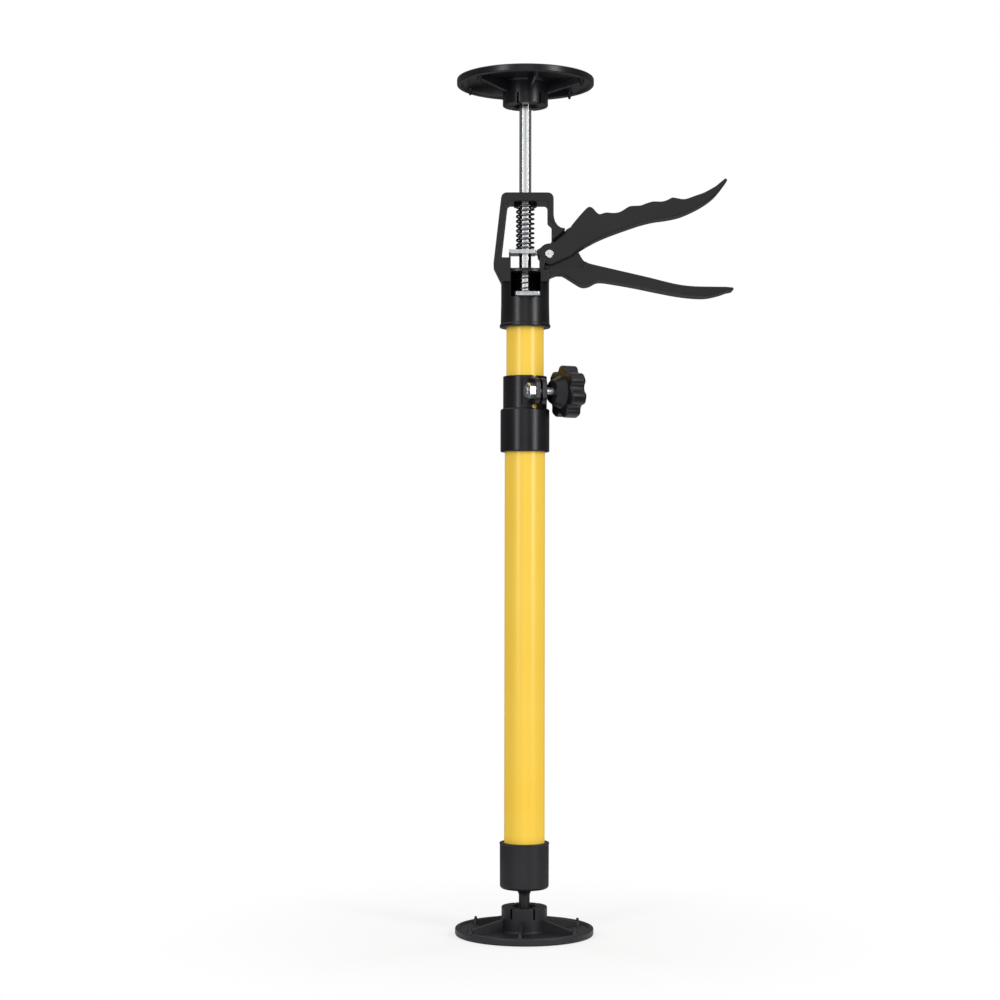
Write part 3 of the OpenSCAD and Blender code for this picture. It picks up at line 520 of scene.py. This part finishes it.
# The skin's shade drifts over about 17 mm. Its pits of 0.1 mm are drawn at 1 mm, so that they show.
matt, skin = clouded("glass_filled_nylon", 60, 3, ("#101013", "#18181B"), (0.27, 0.35), 0.75)[:2]
skin.inputs["IOR"].default_value = 1.53
skin.inputs["Specular IOR Level"].default_value = 0.36
grained(matt, 1000, 2, 0.5, 0.04)
cup_z = span("grip_frame", 2)[0]
frame_top = span("grip_frame", 2)[1]
cup_r = 17.9
bead_r = 19
cup_top = 492.6
bar_left = -17.4
bar_right = 17.8
window_low = 500.7
window_top = 542.6
window_left = -13.1
window_right = 16.8
throat = 10.8
cup_edge_z = 492.9
lip_out = -12.1
frame_y = 14
lip_y = 13.8
web_y = 4
handle_y = 8.5
bar_gap_y = 8.8
pivot_x = 17.9
pivot_z = 504
pivot_hole_r = 2.02
lever_sweep_r = 27.1
rod_hole_r = 5.02
recess_low = 471.5
recess_top = 490.2
recess_left = -10.6
recess_right = 11.4
ledge_z = 473.81
drive_z = 504.43


def flowing(points, steps=4):
    """Runs a smooth curve through points measured from 1.9 mm above the lever's pivot."""
    start_z = pivot_z + 1.9
    line = []
    for i in range(len(points) - 1):
        a, b, c, d = [Vector(points[min(max(k, 0), len(points) - 1)]) for k in range(i - 1, i + 3)]
        for k in range(steps):
            t = k / steps
            line.append((2 * b + (c - a) * t + (2 * a - 5 * b + 4 * c - d) * t * t
                         + (3 * b - a - 3 * c + d) * t ** 3) / 2)
    return [(pivot_x + x, start_z + z) for x, z in line + [points[-1]]]


def on_pivot(piece):
    """Lays a turned shape's axis along Y at the lever's pivot."""
    return place(piece, moved(pivot_x, 0, pivot_z) @ spun_about("X", 90))


grip = turned("grip_frame_moulding", rounded(
    [(0, cup_z, 0), (18.6, cup_z, 0.6), (bead_r, 450.6, 0.5), (18.8, 452, 0.6), (18.25, 452.5, 0.5),
     (cup_r, inner_top, 0), (cup_r, cup_top, 0.8), (0, cup_top, 0)], closed=False), 128)
window_frame = slab("window_frame", rounded(
    [(bar_left, 482.8, 0), (-23.7, 495.6, 3), (-17.6, frame_top, 4.2), (20.9, frame_top, 4.2),
     (20.9, 533.4, 0), (21.15, 530.4, 0), (22.1, 527.2, 0), (24, 524.5, 0), (26.4, 522.9, 0),
     (29.6, 522.4, 0), (28.9, 521, 0), (21.5, 514.6, 0), (19.9, 514.3, 0), (19.9, 526.2, 1.5),
     (window_right, 529.2, 1.5),
     (window_right, window_top, 2.6), (window_left, window_top, 2.6), (-17.8, window_low, 1),
     (-throat, window_low, 0), (-throat, cup_edge_z, 0.5), (throat, cup_edge_z, 0.5), (throat, 502.5, 0),
     (15.2, 499.3, 0), (13.3, 491.6, 0), (bar_right, 491.6, 0), (bar_right, 482.8, 0)]), -frame_y, frame_y)
round_edges(window_frame, 0.7)
lip = slab("lip", [(lip_out, 499.6), (-10.85, 499.6), (-10.85, drive_z), (lip_out, drive_z)], -lip_y, lip_y)
combine(window_frame, round_edges(lip, 0.3))
clearance = slab("clearance", [(9.8, 493.5), (20.4, 493.5), (20.4, 503.5), (9.8, 503.5)],
                 -bar_gap_y, bar_gap_y)
combine(window_frame, clearance, "DIFFERENCE")
combine(grip, window_frame)
crotch = flowing([(2.7, 27.5), (3, 24), (4.1, 20.9), (6.1, 18.2), (8.6, 16.6), (11.4, 16.1), (13.2, 14.6),
                  (15.6, 11.8), (20.8, 2.05), (24.9, -5.34), (28.6, -8.4)])
web = slab("web", [(12.7, 504), (20.2, 514.8), (20.2, 529.8)] + crotch + [
    (44.4, 488.5), (13.3, 488.5), (13.3, 497.5), (12.8, 502.5)], -web_y, web_y)
combine(grip, round_edges(web, 0.6, 2, 50))
handle_top = flowing([(24.9, -5.3), (28.6, -8.4), (38.8, -11), (54.8, -14.7), (73.4, -19), (92.1, -23.6),
                      (104.9, -25.5), (118, -25.9), (131, -26)])
handle_under = flowing([(131.8, -29.6), (125.5, -31.8), (116.2, -33.6), (105.8, -33.3), (93.8, -31.8),
                        (78.1, -28.8), (64.1, -25.9), (51.1, -23.6), (39.7, -21.9), (34.7, -22.3),
                        (30.6, -24.5), (26.4, -25.6), (22.5, -24.7), (15.8, -20.6), (10.3, -17.3),
                        (6.3, -16.6), (0.8, -18.6)])
handle_tip = arc(153.55, 478.3, 1.2, 80, -80, 9)
handle = slab("handle", handle_top + handle_tip + handle_under + [
    (15.2, 481.8), (0, 481.8), (0, 492.4), (17.9, 493.6)], -handle_y, handle_y)
round_edges(handle, 1.1, 3, 60)
sweep = turned("sweep", [(0, -9), (lever_sweep_r, -9), (lever_sweep_r, 9), (0, 9)], 96)
above = slab("above", [(-10, 493.5), (60, 493.5), (60, 539), (-10, 539)], -9.5, 9.5)
combine(handle, combine(on_pivot(sweep), above, "INTERSECT"), "DIFFERENCE")
combine(grip, handle)
seat = turned("seat", [(7.2, 540), (8.5, 540), (8.9, 543), (7.2, 543), (7.2, 540)], 64)
gap = slab("gap", [(-5.4, 539), (5.4, 539), (5.4, 544), (-5.4, 544)], -12, 12)
combine(grip, combine(seat, gap, "DIFFERENCE"))
bore = turned("bore", [(0, 448), (13.95, 448), (13.95, inner_top), (0, inner_top)], 96)
combine(grip, bore, "DIFFERENCE")
rod_hole = turned("rod_hole", [(0, 466), (rod_hole_r, 466), (rod_hole_r, 550), (0, 550)], 64)
combine(grip, rod_hole, "DIFFERENCE")
pin_hole = turned("pin_hole", [(0, -6), (pivot_hole_r, -6), (pivot_hole_r, 6), (0, 6)], 32)
combine(grip, on_pivot(pin_hole), "DIFFERENCE")
recess = slab("recess", [(recess_left, recess_low), (recess_right, recess_low), (recess_right, recess_top),
                         (recess_left, recess_top)], -20, 0)
back = turned("back", [(0, recess_low), (15.4, recess_low), (15.4, recess_top), (0, recess_top)], 96)
column = slab("column", [(recess_left, 471), (recess_right, 471), (recess_right, 491), (recess_left, 491)],
              -0.5, 20)
combine(back, column, "INTERSECT")
combine(recess, back)
ledge = slab("ledge", [(-7.7, 470), (11, 470), (11, ledge_z), (-7.7, ledge_z)], 6.5, 18)
combine(recess, ledge, "DIFFERENCE")
combine(grip, recess, "DIFFERENCE")
finish_piece(grip, matt, "grip_frame", "grip")

# Pivot pin
# A steel rivet holds the lever to the web. Both its heads are spun over, slightly domed, with the
# dimple that the riveting punch leaves.
pin_r = 2
cheek_y = 8.52
near_head = [(0, 9.45, 0), (1.1, 9.72, 0.4), (2.9, 9.6, 0.5), (3.4, 8.7, 0.2), (3.3, cheek_y, 0),
             (pin_r, cheek_y, 0)]
far_head = [(x, -y, corner) for x, y, corner in near_head]
pin = turned("pivot_rivet", rounded(far_head + near_head[::-1], closed=False), 48)
finish_piece(on_pivot(pin), bright, "pivot_pin", "grip")

# Squeeze lever
# The moving handle is moulded in the same matt nylon. Two cheeks straddle the web, a bar between them
# lifts the drive plate, and the hand's side is scalloped for the fingers.
boss_r = 8
slot_r = 26.5
slot_y = 4.3
bar_r = 1.5
bar_x = 10.83
bar_z = 502.63
lever_pin_r = 2.05
finger_side = flowing(
    [(15.6, 18.2), (20.1, 24), (26, 30.7), (29.2, 33.3), (32.1, 32.6), (35.1, 29.3), (37.6, 28),
     (42.1, 29.2), (48, 28.9), (52.9, 29.9), (58.6, 33.4), (61.6, 34.2), (67.6, 34.5), (72.3, 36.2),
     (77.1, 37.5), (83.5, 37.5), (87.5, 38.6), (91.2, 40.4), (94.6, 40.1), (98.1, 39.4), (102, 39.6),
     (108.7, 42), (115.3, 44.4), (123.6, 49)])
lever_tip = arc(148.85, 559.45, 1.2, 130, -35, 9)
palm_side = flowing(
    [(127.9, 47.4), (122.7, 41.5), (115.3, 35.9), (106.9, 31.3), (97.7, 27.4), (88.2, 25.2), (78, 23.7),
     (67.8, 21.2), (54.9, 16.8), (43.6, 12.6), (33.4, 8), (22.3, 1.5), (16.6, -3.2), (10.7, -5.8)])
boss = arc(pivot_x, pivot_z, boss_r, 290, 190, 8) + [(8.48, 505.83), (8.82, 507.13)]
boss += arc(pivot_x, pivot_z, boss_r, 143, 80, 5)
heel = [(29.5, 520.3), (30.3, 522.2)]
outline = heel + finger_side + lever_tip + palm_side + boss
lever = slab("squeeze_lever_moulding", outline, -handle_y, handle_y)
round_edges(lever, 1.1, 3, 75)
slot = turned("slot", [(0, -slot_y), (slot_r, -slot_y), (slot_r, slot_y), (0, slot_y)], 120)
combine(lever, on_pivot(slot), "DIFFERENCE")
bar = turned("bar", [(0, -5), (bar_r, -5), (bar_r, 5), (0, 5)], 24)
combine(lever, place(bar, moved(bar_x, 0, bar_z) @ spun_about("X", 90)))
pin_hole = turned("pin_hole", [(0, -10), (lever_pin_r, -10), (lever_pin_r, 10), (0, 10)], 32)
combine(lever, on_pivot(pin_hole), "DIFFERENCE")
finish_piece(lever, matt, "squeeze_lever", "lever")

# Drive plate
# A blanked steel plate, zinc plated, bites the rod when the lever's bar lifts its tongue.
# It lies on the lip of the window frame, and the rod's hole leaves just enough room to tilt.
plate_t = 3
plate_y = 8.5
tongue_y = 3.7
tongue_x = 12.4
waist_x = 7.6
drive = slab("drive_plate_blank", rounded(
    [(lip_out, -plate_y, 0.8), (waist_x, -plate_y, 0.8), (waist_x, -tongue_y, 0.3),
     (tongue_x, -tongue_y, 0.8), (tongue_x, tongue_y, 0.8), (waist_x, tongue_y, 0.3),
     (waist_x, plate_y, 0.8), (lip_out, plate_y, 0.8)]), -plate_t, 0)
place(drive, lay)
rod_hole = turned("rod_hole", [(0, -1), (rod_hole_r, -1), (rod_hole_r, 4), (0, 4)], 48)
combine(drive, rod_hole, "DIFFERENCE")
place(round_edges(drive, 0.25, 2), moved(0, 0, drive_z))
finish_piece(drive, zinc, "drive_plate", "drive")

# Drive spring
# Round spring wire, 1.6 mm, cold wound with closed ends, round the rod between the plate and the seat.
# Drawn wire has a dark grey shine, clouded about every 1.5 mm.
wire, shine = clouded("drawn_spring_wire", 700, 3, ("#6A6B6F", "#929397"), (0.22, 0.36))[:2]
shine.inputs["Metallic"].default_value = 1
wire_d = 1.6
coil_r = 6.25
coil_count = 10.5


def wound(name, radius, thickness, low, high, turns, start, lean):
    """Winds round wire with a closed coil at each end; lean tilts the lower coil to the front."""
    rings_per_turn = 28
    closed_rise = 1.04
    bpy.ops.object.select_all(action="DESELECT")
    bpy.ops.curve.primitive_nurbs_path_add(location=(0, 0, 0))
    path = bpy.context.object
    path.name = name
    path.data.splines.clear()
    count = round(turns * rings_per_turn)
    line = path.data.splines.new("POLY")
    line.points.add(count)
    rise = high - low - thickness
    closed = thickness * closed_rise / rise
    for i in range(count + 1):
        turn = turns * i / count
        share = min(turn, 1) * closed + max(0, min(turn, turns - 1) - 1) / (turns - 2) * (1 - 2 * closed)
        share += max(0, turn - turns + 1) * closed
        angle = math.radians(start) + 2 * math.pi * turn
        x = radius * math.cos(angle)
        y = radius * math.sin(angle)
        z = low + thickness / 2 + rise * share + lean * (y - radius) * (1 - share)
        line.points[i].co = (x * mm, y * mm, z * mm, 1)
    path.data.bevel_depth = thickness / 2 * mm
    path.data.bevel_resolution = 3
    path.data.use_fill_caps = True
    bpy.ops.object.convert(target="MESH")
    return bpy.context.object


spring = wound("drive_spring_wire", coil_r, wire_d, drive_z + plate_t, window_top, coil_count, 0, 0)
finish_piece(spring, wire, "drive_spring", "grip", 60)
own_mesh(spring)

# Release plate
# A second blanked plate hangs in the recess and keeps the rod from slipping back. Its rounded front
# edge stands out for the thumb.
release_left = -7.7
release_right = 11
release_l = 32.5
release_y = 8.5
release_z = 474.11
release = slab("release_plate_blank", rounded(
    [(release_left, -release_l, 2), (release_right, -release_l, 2), (release_right, 0, 0.8),
     (release_left, 0, 0.8)]), -plate_t, 0)
place(release, moved(0, release_y, release_z) @ spun_about("X", 5) @ lay)
rod_hole = turned("rod_hole", [(0, 469), (rod_hole_r, 469), (rod_hole_r, 481), (0, 481)], 48)
combine(release, rod_hole, "DIFFERENCE")
finish_piece(round_edges(release, 0.35, 2), zinc, "release_plate", "release")

# Release spring
# A light spring of 0.9 mm wire holds the release plate tilted. Its lower coil follows the plate.
light_wire_d = 0.9
light_coil_r = 5.9
plate_slope = 0.087
light_low = 476.9
light_count = 5
light_spring = wound("release_spring_wire", light_coil_r, light_wire_d, light_low, recess_top, light_count,
                     90, plate_slope)
finish_piece(light_spring, wire, "release_spring", "grip", 60)
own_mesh(light_spring)

# Push rod
# Hexagonal bright-drawn steel bar, 8 mm across its flats, a flat to the front. Its corners are soft
# from the drawing die, and a round spigot at its top carries the ball.
rod_corner_r = span("push_rod", 0)[1]
rod_low = span("push_rod", 2)[0]
rod_top = span("top_ball", 2)[0]
spigot_r = 3
spigot_top = span("push_rod", 2)[1]
bpy.ops.object.select_all(action="DESELECT")
bpy.ops.mesh.primitive_cylinder_add(vertices=6, radius=rod_corner_r * mm, depth=(rod_top - rod_low) * mm,
                                    location=(0, 0, (rod_top + rod_low) / 2 * mm),
                                    rotation=(0, 0, math.radians(30)))
rod = bpy.context.object
rod.name = "push_rod_bar"
bpy.ops.object.transform_apply()
round_edges(rod, 0.4, 3)

# Painted shade: a grey line runs down the middle of the bar's front and rear flats
bar_steel = bright.copy()
bar_steel.name = "hexagonal_bar_steel"
metal = bar_steel.node_tree.nodes["Principled BSDF"]
tone = metal.inputs["Base Color"].links[0].from_socket
where = add_node(bar_steel, "ShaderNodeTexCoord")
apart = add_node(bar_steel, "ShaderNodeSeparateXYZ", {}, {"Vector": where.outputs["Object"]})
off = add_node(bar_steel, "ShaderNodeMath", {"operation": "ABSOLUTE"}, {0: apart.outputs["X"]})
line = add_node(bar_steel, "ShaderNodeMapRange",
                {"From Min": 0.3 * mm, "From Max": 1.1 * mm, "To Min": 0.66, "To Max": 1},
                {"Value": off.outputs[0]})
# Painted shade: the steel's colour is darkened to two thirds along the line where X is near 0
painted_shade_line = add_node(bar_steel, "ShaderNodeVectorMath", {"operation": "SCALE"},
                {0: tone, "Scale": line.outputs["Result"]})
bar_steel.node_tree.links.new(painted_shade_line.outputs["Vector"], metal.inputs["Base Color"])

spigot = turned("spigot", rounded([(0, 610.5, 0), (spigot_r, 610.5, 0), (spigot_r, spigot_top, 0.5),
                                   (0, spigot_top, 0)], closed=False), 32)
combine(rod, spigot)
finish_piece(rod, bar_steel, "push_rod", "rod")

# Rod stop
# A ring near the rod's lower end keeps it in the grip. It is inside the tube, so its solid stays.
for material_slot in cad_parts["rod_stop"].material_slots:
    material_slot.material = zinc

# Top ball
# A nylon ball with a flat underside is pressed on the rod's spigot and snaps into the head plate.
top_ball_z = 626
ball_bore = 3.05
bore_top = 630.1
ball = turned("top_ball_moulding", [(ball_bore, bore_top), (ball_bore, rod_top)] + arc(
    0, top_ball_z, ball_r, -51, 90, 20) + [(0, bore_top)], 72)
finish_piece(ball, nylon, "top_ball", "ball")

# Head plate
# The same moulding as the foot, turned over, presses the board against the ceiling.
head_face = round(cad_high[2] / mm, 2)
head = plate("head_plate_moulding")
place(head, moved(0, 0, head_face) @ spun_about("X", 180) @ spun_about("Z", -40))
finish_piece(head, nylon, "head_plate", "head")

# Floor
# A pale board under the foot takes the soft shadow and fades out to the white ground round it. The eye
# sees it lifted towards white, as an overexposed sweep of paper. The room's own lengths are in metres.
board_size = 3
bpy.ops.object.select_all(action="DESELECT")
bpy.ops.mesh.primitive_plane_add(size=board_size, location=(0, 0, -0.0001))
floor = bpy.context.object
floor.name = "floor"
bpy.ops.object.mode_set(mode="EDIT")
bpy.ops.mesh.subdivide(number_cuts=8)
bpy.ops.object.mode_set(mode="OBJECT")
board = bpy.data.materials.new("pale_board")
board.use_nodes = True
face = board.node_tree.nodes["Principled BSDF"]
face.inputs["Base Color"].default_value = linear("#FBFBFB")
face.inputs["Roughness"].default_value = 0.9
face.inputs["Specular IOR Level"].default_value = 0
eye = add_node(board, "ShaderNodeLightPath")
lift = add_node(board, "ShaderNodeMapRange", {"To Max": 0.7}, {"Value": eye.outputs["Is Camera Ray"]})
glow = add_node(board, "ShaderNodeEmission")
paper_face = add_node(board, "ShaderNodeMixShader", {},
                      {0: lift.outputs["Result"], 1: face.outputs[0], 2: glow.outputs[0]})
where = add_node(board, "ShaderNodeTexCoord")
reach = add_node(board, "ShaderNodeVectorMath", {"operation": "LENGTH"}, {0: where.outputs["Object"]})
fade = add_node(board, "ShaderNodeMapRange",
                {"From Min": 0.08, "From Max": 0.3, "interpolation_type": "SMOOTHSTEP"},
                {"Value": reach.outputs["Value"]})
ground = add_node(board, "ShaderNodeBsdfTransparent")
mix = add_node(board, "ShaderNodeMixShader", {},
               {0: fade.outputs["Result"], 1: paper_face.outputs[0], 2: ground.outputs[0]})
board.node_tree.links.new(mix.outputs[0], board.node_tree.nodes["Material Output"].inputs["Surface"])
floor.data.materials.append(board)

# Lamps
# Two tall, narrow strip boxes stand left and right of the camera and give the paired highlights. Two
# wide, weak ones behind lift the far sides and don't mirror in the gloss.
lamp_z = 1
lamp_height = 1.7
aim = Vector((0, 0, 0.4))
lamps = (("left_strip", -38, 2.2, 0.5, 18), ("right_strip", 48, 2.2, 0.5, 25),
         ("left_rear", -135, 2.4, 0.8, 12), ("right_rear", 130, 2.4, 0.8, 14))
for name, azimuth, distance, width, power in lamps:
    a = math.radians(azimuth)
    lamp = bpy.data.lights.new(name, "AREA")
    lamp.shape = "RECTANGLE"
    lamp.size = width
    lamp.size_y = lamp_height
    lamp.energy = power
    box = bpy.data.objects.new(name, lamp)
    bpy.context.scene.collection.objects.link(box)
    box.location = (distance * math.sin(a), -distance * math.cos(a), lamp_z)
    box.rotation_euler = (aim - box.location).to_track_quat("-Z", "Y").to_euler()
    box.visible_camera = False
    box.visible_glossy = abs(azimuth) < 90

# Screen
# Dark grey cloth hangs round the set from one side of the camera to the other. Only the gloss shows it:
# it draws the dark edges of the tubes and of the rod, as flags do in a studio. Its sizes are in mm.
screen_r = 2700
screen_low = -1500
screen_h = 3900
posts = [math.radians(a) for a in range(14, 347, 4)]
cloth = bpy.data.materials.new("dark_cloth")
cloth.use_nodes = True
shade = add_node(cloth, "ShaderNodeEmission", {"Strength": 0.13})
cloth.node_tree.links.new(shade.outputs[0], cloth.node_tree.nodes["Material Output"].inputs["Surface"])
screen = drawn("screen", [(screen_r * math.sin(a), -screen_r * math.cos(a), screen_low) for a in posts])
bpy.ops.mesh.extrude_edges_move(TRANSFORM_OT_translate={"value": (0, 0, screen_h * mm)})
bpy.ops.object.mode_set(mode="OBJECT")
screen.data.materials.append(cloth)
screen.visible_camera = False
screen.visible_diffuse = False
screen.visible_transmission = False
screen.visible_shadow = False

# Room
# White paper all round for the eye and for reflections, and a softer grey for the light it sheds.
world = bpy.data.worlds.new("paper_room")
bpy.context.scene.world = world
world.use_nodes = True
paper = world.node_tree.nodes["Background"]
paths = add_node(world, "ShaderNodeLightPath")
seen = add_node(world, "ShaderNodeMath", {"operation": "MAXIMUM"},
                {0: paths.outputs["Is Camera Ray"], 1: paths.outputs["Is Glossy Ray"]})
clear = add_node(world, "ShaderNodeMath", {"operation": "MAXIMUM"},
                 {0: seen.outputs[0], 1: paths.outputs["Is Transmission Ray"]})
level = add_node(world, "ShaderNodeMapRange", {"To Min": 0.47, "To Max": 1}, {"Value": clear.outputs[0]})
world.node_tree.links.new(level.outputs["Result"], paper.inputs["Strength"])
paper.inputs["Color"].default_value = (1, 1, 1, 1)

# Camera
# It stands 1.57 m off, a little below the middle of the pole, tilted up by 1.5 degrees, and leans by a
# tenth of a degree, as in the photograph.
lens = bpy.data.cameras.new("camera")
lens.lens = 75.99
camera = bpy.data.objects.new("camera", lens)
bpy.context.scene.collection.objects.link(camera)
camera.location = (-0.0184, -1.57, 0.28)
camera.rotation_euler = (math.radians(91.51), math.radians(-0.1), 0)
bpy.context.scene.camera = camera
bpy.context.scene.view_settings.view_transform = "Standard"
